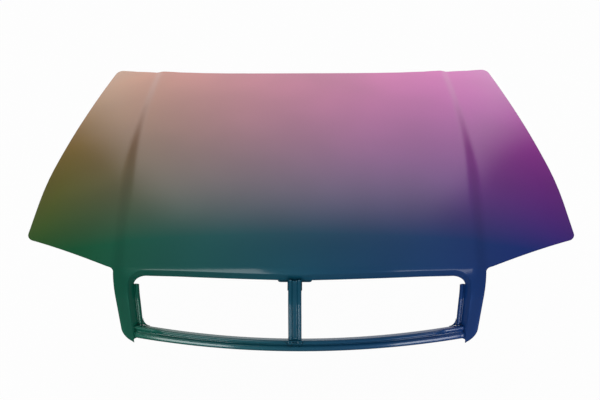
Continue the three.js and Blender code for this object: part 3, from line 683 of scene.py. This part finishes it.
class BONNET_OT_outer_skin(bpy.types.Operator):
    """The pressed skin, with its rolled hem and the lip turned into the grille aperture."""

    bl_idname = "bonnet.outer_skin"
    bl_label = "Outer skin"

    def execute(self, context):
        sizes = context.scene.bonnet_sizes
        right = rear_and_sides() + leg_and_aperture()
        bm = bmesh.new()
        face = blank(bm, right + [(0, LIP_CENTRE, 0)] + mirrored(right[1:]))
        # Rings close to the edge, which round the rolled edge and the fold into the aperture
        roll, fold = sizes.edge_roll, sizes.lip_fold
        reach = 0.85 * fold
        rings = [(0.0, list(face.verts))]
        for inset in (roll, (roll + reach) / 2, reach):
            pressed(bm, face, [(inset - rings[-1][0], 0.0)])
            rings.append((inset, list(face.verts)))
        for vert in rings[0][1]:
            vert.co.z = -0.6 * roll
        for inset, verts in rings:
            for vert in verts:
                if beside_aperture(vert.co, inset):
                    vert.co.z = math.sqrt(fold**2 - (reach - inset) ** 2) - fold
        cut_at(bm, columns(), rows())
        lip = boundary(bm, beside_aperture)
        hem = [e for e in bm.edges if e.is_boundary and e not in set(lip)]
        folded(bm, hem, [(0.0, -1.4 * roll), (0.6 * roll, -2 * roll), (sizes.hem, -2 * roll)])
        lean, depth = sizes.lip_lean, sizes.lip_depth
        folded(bm, lip, [(-0.09 * fold, -0.68 * fold), (-0.4 * lean, -0.55 * depth), (-lean, -depth)])
        finished(bm, "skin", "skin paint", ["outer_skin"], sheet=sizes.skin_sheet, offset=-1)
        return {"FINISHED"}


class BONNET_OT_inner_frame(bpy.types.Operator):
    """The stamped frame under the skin, with its drawn ribs and windows."""

    bl_idname = "bonnet.inner_frame"
    bl_label = "Inner frame"

    def execute(self, context):
        sizes = context.scene.bonnet_sizes
        clear = sizes.skin_sheet + GAP
        flange_level = -clear - FRAME_SHEET / 2
        floor_level = -sizes.frame_depth - FRAME_SHEET / 2
        bm = bmesh.new()
        outer = self.cut_blank(bm, 0.0, clear, flange_level)
        outer_edges = list(outer.edges)
        bmesh.ops.delete(bm, geom=[outer], context="FACES_ONLY")
        floor = self.cut_blank(bm, FLOOR_ROUND, clear + sizes.flange, flange_level)
        bmesh.ops.triangle_fill(bm, edges=outer_edges + list(floor.edges), use_beauty=True)
        pressed(bm, floor, drawn_wall(sizes.draft, flange_level, floor_level))
        rim = list(floor.edges)
        bmesh.ops.delete(bm, geom=[floor], context="FACES_ONLY")
        holes = self.window_faces(bm, floor_level)
        hole_edges = [e for face in holes for e in face.edges]
        nut_edges = self.nut_holes(bm, floor_level)
        bmesh.ops.triangle_fill(bm, edges=rim + hole_edges + nut_edges, use_beauty=True)
        land_level = LAND_LEVEL - FRAME_SHEET / 2
        for face in holes:
            pressed(bm, face, drawn_wall(sizes.draft, floor_level, land_level) + [(sizes.land, land_level)])
        bmesh.ops.delete(bm, geom=holes, context="FACES_ONLY")
        front = APERTURE_AT + sizes.lip_lean - 2 * GAP
        geom = bm.verts[:] + bm.edges[:] + bm.faces[:]
        bmesh.ops.bisect_plane(bm, geom=geom, dist=0.0001, plane_co=(0, front, 0), plane_no=(0, 1, 0),
                               clear_outer=True)
        self.leg_flanges(bm, front, clear, flange_level)
        cut_at(bm, columns(0.01, 0.025, 0.02), rows(0.01, 0.025, 0.02))
        for vert in bm.verts:
            if abs(vert.co.y - front) < 0.0001 and vert.co.z < floor_level + 0.001:
                vert.co.y += (LIP_CENTRE - APERTURE_AT) * max(0.0, 1 - abs(vert.co.x) / LIP_STRAIGHT)
        finished(bm, "frame_stamping", "inner paint", ["inner_frame"], sheet=FRAME_SHEET)
        return {"FINISHED"}

    def cut_blank(self, bm, least, inside, level):
        """A flat face inside the outline, running on past the lip."""
        right = rear_and_sides(least) + [(ROOT_HALF, FRAME_BEYOND, 0)]
        face = blank(bm, right + mirrored(right[1:]))
        others = set(bm.faces)
        bmesh.ops.inset_region(bm, faces=[face], thickness=inside, use_even_offset=True, use_boundary=True)
        bmesh.ops.delete(bm, geom=[f for f in bm.faces if f not in others], context="FACES")
        set_level(face, level)
        return face

    def window_faces(self, bm, level):
        """Flat faces where the windows' drawn walls start."""
        faces = []
        for index in range(3):
            inner = WINDOW_INNER + index * WINDOW_PITCH
            outer, rear = inner + WINDOW_WIDTH, WINDOW_REAR - WINDOW_STAGGER * index
            corners = [
                (inner, rear, WINDOW_ROUND),
                (outer, rear, WINDOW_ROUND),
                (WINDOW_DRAW_IN * outer, WINDOW_FRONT, WINDOW_ROUND),
                (WINDOW_DRAW_IN * inner, WINDOW_FRONT, WINDOW_ROUND),
            ]
            for side in (corners, mirrored(corners)):
                face = blank(bm, side)
                set_level(face, level)
                faces.append(face)
        return faces

    def nut_holes(self, bm, level):
        edges = []
        for x, s in nut_places():
            place = Matrix.Translation((x, s, level))
            ring = bmesh.ops.create_circle(bm, segments=24, radius=NUT_CLEARANCE, matrix=place)
            edges += ring_edges(ring["verts"])
        return edges

    def leg_flanges(self, bm, front, clear, level):
        for side in (1, -1):
            corners = [
                (aperture_side(front) + clear, front, 0),
                (ROOT_HALF - clear, front, 0),
                (LEG_HALF - clear, LEG_END, FRAME_LEG_ROUND),
                (TIP_HALF + clear, TIP_END - clear, 0),
            ]
            set_level(blank(bm, [(side * x, s, radius) for x, s, radius in corners][::side]), level)


def latch_bolts():
    return [(LATCH_X + side * LATCH_BOLT_PITCH / 2, LATCH_BOLT_AT) for side in (-1, 1)]


def nut_places():
    ends = [HINGE_S + end * HINGE_BOLT_PITCH / 2 for end in (-1, 1)]
    return [(side * HINGE_X, s) for side in (-1, 1) for s in ends] + latch_bolts()


class BONNET_OT_lower_rail(bpy.types.Operator):
    """The pressed bar along the bottom of the grille aperture."""

    bl_idname = "bonnet.lower_rail"
    bl_label = "Lower rail"

    def execute(self, context):
        sizes = context.scene.bonnet_sizes
        head, foot = RAIL_SHEET / 2, sizes.rail_height - RAIL_SHEET / 2
        back, turn = RAIL_BACK_LEVEL, -sizes.lip_depth
        ridge, groove, crest = RAIL_RIDGE_LEVEL, RAIL_GROOVE_LEVEL, RAIL_CREST_LEVEL
        line = [
            (head, back),
            (head, turn),
            (head, 2 * ridge),
            (0.0031, ridge),
            (0.0061, ridge),
            (0.0086, groove),
            (0.0116, groove),
            (0.0141, crest),
            (foot - 0.0025, crest),
            (foot, -0.005),
            (foot, turn),
            (foot, back),
        ]
        widest = aperture_side(rail_top_at(APERTURE_HALF)) - 2 * GAP

        def place(share, down, w):
            end = lip_side(rail_top_at(APERTURE_HALF) + down, w) - 2 * GAP
            short = (widest - end) * smooth((abs(share) - RAIL_ENDS_FROM) / (1 - RAIL_ENDS_FROM))
            x = share * widest - math.copysign(short, share)
            grown = down * (1 + RAIL_FLARE * share**2)
            if w >= 2 * ridge and down < RAIL_HEAD:
                w += (RAIL_FLAT_LEVEL - w) * smooth((abs(x) - RAIL_FLAT_FROM) / RAIL_FLAT_BAND)
            return (x, rail_top_at(x) + grown, w)

        bm = bmesh.new()
        swept(bm, line, even(-1, 1, 1 / 72), place)
        soften_folds(bm, sizes.fold_radius)
        finished(bm, "lower_rail", "skin paint", ["grille_lower_rail"], sheet=RAIL_SHEET,
                 even_shading=False)
        return {"FINISHED"}


def on_strut(s, across, w):
    return (LATCH_X + across, s, w)


class BONNET_OT_centre_strut(bpy.types.Operator):
    """The ribbed strut from the latch plate to the lower rail."""

    bl_idname = "bonnet.centre_strut"
    bl_label = "Centre strut"

    def execute(self, context):
        sizes = context.scene.bonnet_sizes
        edge = (sizes.strut_width - RAIL_SHEET) / 2
        half = [
            (edge, STRUT_BACK_LEVEL),
            (edge, STRUT_EDGE_LEVEL),
            (edge - 0.0025, STRUT_RIDGE_LEVEL),
            (edge - 0.0065, STRUT_RIDGE_LEVEL),
            (edge - 0.0095, STRUT_GROOVE_LEVEL),
        ]
        bm = bmesh.new()
        foot = rail_top_at(LATCH_X) - GAP
        line = [(-x, w) for x, w in half] + half[::-1]
        swept(bm, line, even(LATCH_FRONT + GAP, foot, STATION), on_strut)
        soften_folds(bm, sizes.fold_radius)
        for side in (-1, 1):
            tab = rounded_box(LATCH_X + side * FOOT_TAB, FOOT_TAB, foot - 0.001, foot + 0.007, 0.003)
            face = blank(bm, tab)
            set_level(face, FOOT_TAB_LEVEL)
            top = FOOT_TAB_LEVEL + 0.0005
            pressed(bm, face, [(0.0012, top), (0.0016, top), (0.0006, top - 0.001)])
        finished(bm, "strut", "skin paint", ["centre_strut"], sheet=RAIL_SHEET)
        return {"FINISHED"}


class BONNET_OT_strut_bracket(bpy.types.Operator):
    """The folded bracket that ties the strut to the latch plate."""

    bl_idname = "bonnet.strut_bracket"
    bl_label = "Strut bracket"

    def execute(self, context):
        half = context.scene.bonnet_sizes.strut_width / 2 + GAP + RAIL_SHEET / 2
        base, top, start = BRACKET_BASE_LEVEL, BRACKET_TOP_LEVEL, LATCH_FRONT + GAP
        bm = bmesh.new()
        tongue = [(-half, base), (half, base)]
        socket = [(-half, top), *tongue, (half, top)]
        swept(bm, tongue, even(LATCH_FRONT - BRACKET_REACH, start, STATION), on_strut)
        swept(bm, socket, even(start, LATCH_FRONT + BRACKET_REACH, STATION), on_strut)
        bmesh.ops.remove_doubles(bm, verts=bm.verts[:], dist=JOIN_WITHIN)
        soften_folds(bm, context.scene.bonnet_sizes.fold_radius)
        finished(bm, "strut_socket", "skin paint", ["strut_bracket"], sheet=RAIL_SHEET)
        return {"FINISHED"}


class BONNET_OT_latch_plate(bpy.types.Operator):
    """The thick plate that carries the latch striker."""

    bl_idname = "bonnet.latch_plate"
    bl_label = "Latch plate"

    def execute(self, context):
        bm = bmesh.new()
        corners = rounded_box(LATCH_X, LATCH_PLATE_WIDTH, LATCH_PLATE_REAR, LATCH_FRONT, 0.006)
        drilled_plate(bm, corners, latch_bolts(), LATCH_LEVEL)
        cut_at(bm, along=rows(0.01, 0.02, 0.02))
        finished(bm, "latch_plate", "inner paint", ["latch_reinforcement"], sheet=PLATE_SHEET)
        return {"FINISHED"}


class BONNET_OT_hinge_plates(bpy.types.Operator):
    """The thick plates behind the hinge bolts."""

    bl_idname = "bonnet.hinge_plates"
    bl_label = "Hinge plates"

    def execute(self, context):
        for side, hand in ((-1, "left"), (1, "right")):
            bm = bmesh.new()
            corners = rounded_box(0, HINGE_WIDTH, -HINGE_LENGTH / 2, HINGE_LENGTH / 2, 0.008)
            holes = [(0, end * HINGE_BOLT_PITCH / 2) for end in (-1, 1)]
            drilled_plate(bm, corners, holes, -PLATE_SHEET / 2)
            bmesh.ops.transform(bm, matrix=hinge_seat(side), verts=bm.verts[:])
            finished(bm, f"hinge_plate_{hand}", "inner paint", [f"hinge_reinforcement_{hand}"],
                     sheet=PLATE_SHEET, bend=False)
        return {"FINISHED"}


def hinge_seat(side):
    under = -panel_sizes().frame_depth - FRAME_SHEET - HINGE_GAP
    return seat(side * HINGE_X, HINGE_S, under, HINGE_WIDTH / 2, HINGE_LENGTH / 2)


class BONNET_OT_weld_nuts(bpy.types.Operator):
    """The threaded weld nuts over the bolt holes."""

    bl_idname = "bonnet.weld_nuts"
    bl_label = "Weld nuts"

    def execute(self, context):
        reach = LATCH_BOLT_PITCH / 2
        under = -panel_sizes().frame_depth - FRAME_SHEET - GAP
        latch_seat = seat(LATCH_X, LATCH_BOLT_AT, under, reach, reach)
        for side, hand in ((-1, "left"), (1, "right")):
            self.weld(f"latch_nut_{hand}", latch_seat, side * reach, 0)
            for along, end in ((1, "rear"), (-1, "front")):
                self.weld(f"hinge_nut_{hand}_{end}", hinge_seat(side), 0, along * HINGE_BOLT_PITCH / 2)
        return {"FINISHED"}

    def weld(self, node_name, place, x, y):
        bm = bmesh.new()
        weld_nut(bm, x, y)
        bmesh.ops.transform(bm, matrix=place, verts=bm.verts[:])
        finished(bm, f"weld_{node_name}", "zinc plating", [node_name], bend=False)


class BONNET_OT_mastic_pads(bpy.types.Operator):
    """Beads of mastic between the skin and the lands of the frame."""

    bl_idname = "bonnet.mastic_pads"
    bl_label = "Mastic pads"

    def execute(self, context):
        sizes = context.scene.bonnet_sizes
        on_land = sizes.draft + sizes.land / 2
        for side, hand in ((-1, "left"), (1, "right")):
            for index in range(3):
                inner = WINDOW_INNER + index * WINDOW_PITCH
                rear = WINDOW_REAR - WINDOW_STAGGER * index
                for end, (edge, inward) in enumerate(((inner, on_land), (inner + WINDOW_WIDTH, -on_land))):
                    s = PADS_AT[end]
                    drawn = 1 + (s - rear) / (WINDOW_FRONT - rear) * (WINDOW_DRAW_IN - 1)
                    self.bead(side * (edge * drawn + inward), s, f"{hand}_{2 * index + end + 1}")
        return {"FINISHED"}

    def bead(self, x, s, name):
        bottom, top = LAND_LEVEL + GAP, -panel_sizes().skin_sheet - GAP
        middle = (bottom + top) / 2
        corners = rounded_box(x, PAD_WIDTH, s - PAD_LENGTH / 2, s + PAD_LENGTH / 2, PAD_ROUND)
        bm = bmesh.new()
        for level in (bottom, top):
            face = blank(bm, corners)
            set_level(face, middle)
            pressed(bm, face, [(0.0003, middle + (level - middle) * 0.6), (0.0008, level)])
        finished(bm, f"bead_{name}", "mastic", [f"mastic_pad_{name}"])


class BONNET_OT_gussets(bpy.types.Operator):
    """Corner plates with a hollow edge between the uprights and the lower rail."""

    bl_idname = "bonnet.gussets"
    bl_label = "Corner gussets"

    def execute(self, context):
        corner = aperture_side(RAIL_TOP) - UPRIGHT_WIDTH - GAP
        level = -context.scene.bonnet_sizes.lip_depth - 2.5 * RAIL_SHEET
        arc = [(corner - GUSSET + GUSSET * math.sin(angle), -GUSSET + GUSSET * math.cos(angle))
               for angle in even(0, math.pi / 2, math.pi / 20)]
        for side, hand in ((-1, "left"), (1, "right")):
            bm = bmesh.new()
            outline = [(side * x, rail_top_at(x) - GAP + up, level) for x, up in arc + [(corner, 0)]]
            face = bm.faces.new([bm.verts.new(point) for point in outline][::side])
            pressed(bm, face, [(0.0008, level), (0.0006, level + 0.0008)])
            finished(bm, f"gusset_{hand}", "skin paint", [f"corner_gusset_{hand}"],
                     sheet=RAIL_SHEET, even_offset=False)
        return {"FINISHED"}


class BONNET_OT_uprights(bpy.types.Operator):
    """The folded uprights inside the legs."""

    bl_idname = "bonnet.uprights"
    bl_label = "Uprights"

    def execute(self, context):
        sizes = context.scene.bonnet_sizes
        depth, lean = sizes.lip_depth, sizes.lip_lean
        turn = -depth - 2 * RAIL_SHEET
        edge = UPRIGHT_WIDTH - RAIL_SHEET / 2
        end = rail_top_at(APERTURE_HALF) - GAP

        def behind_lip(w):
            return lean * (-w - sizes.skin_sheet) / depth - sizes.skin_sheet - 2 * GAP - RAIL_SHEET * 0.6

        line = [
            (behind_lip(UPRIGHT_FRONT_LEVEL), UPRIGHT_FRONT_LEVEL),
            (behind_lip(turn), turn),
            (edge - 3 * UPRIGHT_FOLD, turn),
            (edge - 2 * UPRIGHT_FOLD, turn + UPRIGHT_BEAD),
            (edge - UPRIGHT_FOLD, turn + UPRIGHT_BEAD),
            (edge, turn),
            (edge, turn - 0.003),
        ]
        for side, hand in ((-1, "left"), (1, "right")):

            def place(share, inward, w):
                foot = rail_top_at(APERTURE_HALF - inward) - GAP if w > turn else end + UPRIGHT_OVERLAP
                s = UPRIGHT_START + share * (foot - UPRIGHT_START)
                return (side * (aperture_side(s) - inward), s, w)

            bm = bmesh.new()
            swept(bm, line, even(0, 1, 1 / 18), place)
            soften_folds(bm, sizes.fold_radius)
            finished(bm, f"upright_{hand}", "skin paint", [f"grille_upright_{hand}"],
                     sheet=RAIL_SHEET, even_shading=False)
        return {"FINISHED"}


class BONNET_OT_stage(bpy.types.Operator):
    """Pale floor, soft lights and the camera."""

    bl_idname = "bonnet.stage"
    bl_label = "Stage"

    def execute(self, context):
        scene = context.scene
        self.lay_floor(scene)
        self.light_studio(scene)
        for light in LIGHTS:
            self.soft_light(scene, *light)
        self.place_camera(scene)
        scene.view_settings.view_transform = "Standard"
        return {"FINISHED"}

    def lay_floor(self, scene):
        """A pale floor that the camera sees white, and that shows nothing from below."""
        bm = bmesh.new()
        place = Matrix.Translation(FLOOR_CENTRE)
        bmesh.ops.create_grid(bm, x_segments=8, y_segments=8, size=FLOOR_HALF, matrix=place)
        mesh = bpy.data.meshes.new("floor")
        bm.to_mesh(mesh)
        bm.free()
        floor = bpy.data.objects.new("floor", mesh)
        scene.collection.objects.link(floor)
        material, tree, shader = new_material("floor")
        give(tree, shader, "Base Color", (0.85, 0.85, 0.85, 1))
        give(tree, shader, "Roughness", 0.9)
        rays = node(tree, "ShaderNodeLightPath").outputs
        plain = calculated(tree, "MULTIPLY", rays["Is Camera Ray"], FLOOR_WHITE)
        share = calculated(tree, "MAXIMUM", plain, rays["Is Glossy Ray"])
        level = ranged(tree, rays["Is Glossy Ray"], 0.0, 1.0, 1.0, FLOOR_MIRRORED)
        white = node(tree, "ShaderNodeEmission", {"Color": (1, 1, 1, 1), "Strength": level})
        both = node(tree, "ShaderNodeMixShader", {0: share, 1: shader.outputs[0], 2: white.outputs[0]})
        under = node(tree, "ShaderNodeNewGeometry").outputs["Backfacing"]
        clear = node(tree, "ShaderNodeBsdfTransparent")
        one_sided = node(tree, "ShaderNodeMixShader", {0: under, 1: both.outputs[0], 2: clear.outputs[0]})
        give(tree, tree.nodes["Material Output"], "Surface", one_sided.outputs[0])
        mesh.materials.append(material)

    def light_studio(self, scene):
        """Even light, white to the camera, with a bright patch behind the bonnet for its coat to mirror."""
        world = bpy.data.worlds.new("studio")
        scene.world = world
        world.use_nodes = True
        tree = world.node_tree
        background = tree.nodes["Background"]
        give(tree, background, "Color", (1, 1, 1, 1))
        give(tree, background, "Strength", DAYLIGHT)
        rays = node(tree, "ShaderNodeLightPath").outputs
        seen = calculated(tree, "MAXIMUM", rays["Is Camera Ray"], rays["Is Glossy Ray"])
        seen = calculated(tree, "MAXIMUM", seen, rays["Is Transmission Ray"])
        view = node(tree, "ShaderNodeTexCoord").outputs["Generated"]
        heading = node(tree, "ShaderNodeSeparateXYZ", {"Vector": view}).outputs
        behind = ranged(tree, heading["Y"], MIRRORED_FROM, MIRRORED_FULL, interpolation_type="SMOOTHSTEP")
        turn = calculated(tree, "DIVIDE", heading["X"], calculated(tree, "MAXIMUM", heading["Y"], 0.05))
        turn = calculated(tree, "ABSOLUTE", turn)
        middle = ranged(tree, turn, MIRRORED_WIDE, MIRRORED_NARROW, interpolation_type="SMOOTHSTEP")
        patch = calculated(tree, "MULTIPLY", behind, middle)
        patch = ranged(tree, patch, 0.0, 1.0, MIRRORED_DARK, MIRRORED_BRIGHT)
        level = node(tree, "ShaderNodeMix", {0: rays["Is Glossy Ray"], 2: 1.0, 3: patch}, data_type="FLOAT")
        bright = node(tree, "ShaderNodeBackground", {"Color": (1, 1, 1, 1), "Strength": level.outputs[0]})
        both = node(tree, "ShaderNodeMixShader", {0: seen, 1: background.outputs[0], 2: bright.outputs[0]})
        give(tree, tree.nodes["World Output"], "Surface", both.outputs[0])

    def soft_light(self, scene, name, place, target, size, power):
        data = bpy.data.lights.new(name, "AREA")
        data.shape = "SQUARE"
        data.size = size
        data.energy = power
        light = bpy.data.objects.new(name, data)
        light.location = place
        light.rotation_mode = "QUATERNION"
        light.rotation_quaternion = (Vector(target) - Vector(place)).to_track_quat("-Z", "Y")
        scene.collection.objects.link(light)

    def place_camera(self, scene):
        data = bpy.data.cameras.new("camera")
        data.lens = CAMERA_LENS
        data.sensor_width = 36.0
        camera = bpy.data.objects.new("camera", data)
        scene.collection.objects.link(camera)
        level = math.cos(CAMERA_PITCH)
        ahead = Vector((math.sin(CAMERA_YAW) * level, math.cos(CAMERA_YAW) * level, -math.sin(CAMERA_PITCH)))
        right = Vector((math.cos(CAMERA_YAW), -math.sin(CAMERA_YAW), 0))
        up = right.cross(ahead)
        turned_right = right * math.cos(CAMERA_ROLL) + up * math.sin(CAMERA_ROLL)
        turned_up = up * math.cos(CAMERA_ROLL) - right * math.sin(CAMERA_ROLL)
        turn = Matrix((turned_right, turned_up, -ahead)).transposed().to_4x4()
        camera.matrix_world = Matrix.Translation(CAMERA_PLACE) @ turn
        scene.camera = camera


PIECE_OPERATORS = (
    BONNET_OT_outer_skin,
    BONNET_OT_inner_frame,
    BONNET_OT_lower_rail,
    BONNET_OT_centre_strut,
    BONNET_OT_strut_bracket,
    BONNET_OT_uprights,
    BONNET_OT_gussets,
    BONNET_OT_latch_plate,
    BONNET_OT_hinge_plates,
    BONNET_OT_weld_nuts,
    BONNET_OT_mastic_pads,
)


class BONNET_PT_sidebar(bpy.types.Panel):
    """Lists the bonnet's pieces and its sizes."""

    bl_idname = "BONNET_PT_sidebar"
    bl_label = "Car bonnet"
    bl_space_type = "VIEW_3D"
    bl_region_type = "UI"
    bl_category = "Bonnet"

    def draw(self, context):
        for operator in (*PIECE_OPERATORS, BONNET_OT_stage):
            self.layout.operator(operator.bl_idname)
        for group in (context.scene.bonnet_sizes, context.scene.bonnet_colours):
            for name in group.bl_rna.properties.keys():
                if name not in ("rna_type", "name"):
                    self.layout.prop(group, name)


CLASSES = (BonnetSizes, BonnetColours, *PIECE_OPERATORS, BONNET_OT_stage, BONNET_PT_sidebar)


def register():
    for cls in CLASSES:
        bpy.utils.register_class(cls)
    bpy.types.Scene.bonnet_sizes = PointerProperty(type=BonnetSizes)
    bpy.types.Scene.bonnet_colours = PointerProperty(type=BonnetColours)


def unregister():
    del bpy.types.Scene.bonnet_colours
    del bpy.types.Scene.bonnet_sizes
    for cls in reversed(CLASSES):
        bpy.utils.unregister_class(cls)


def main():
    register()
    for operator in (*PIECE_OPERATORS, BONNET_OT_stage):
        group, name = operator.bl_idname.split(".")
        getattr(getattr(bpy.ops, group), name)()


if __name__ == "__main__":
    main()
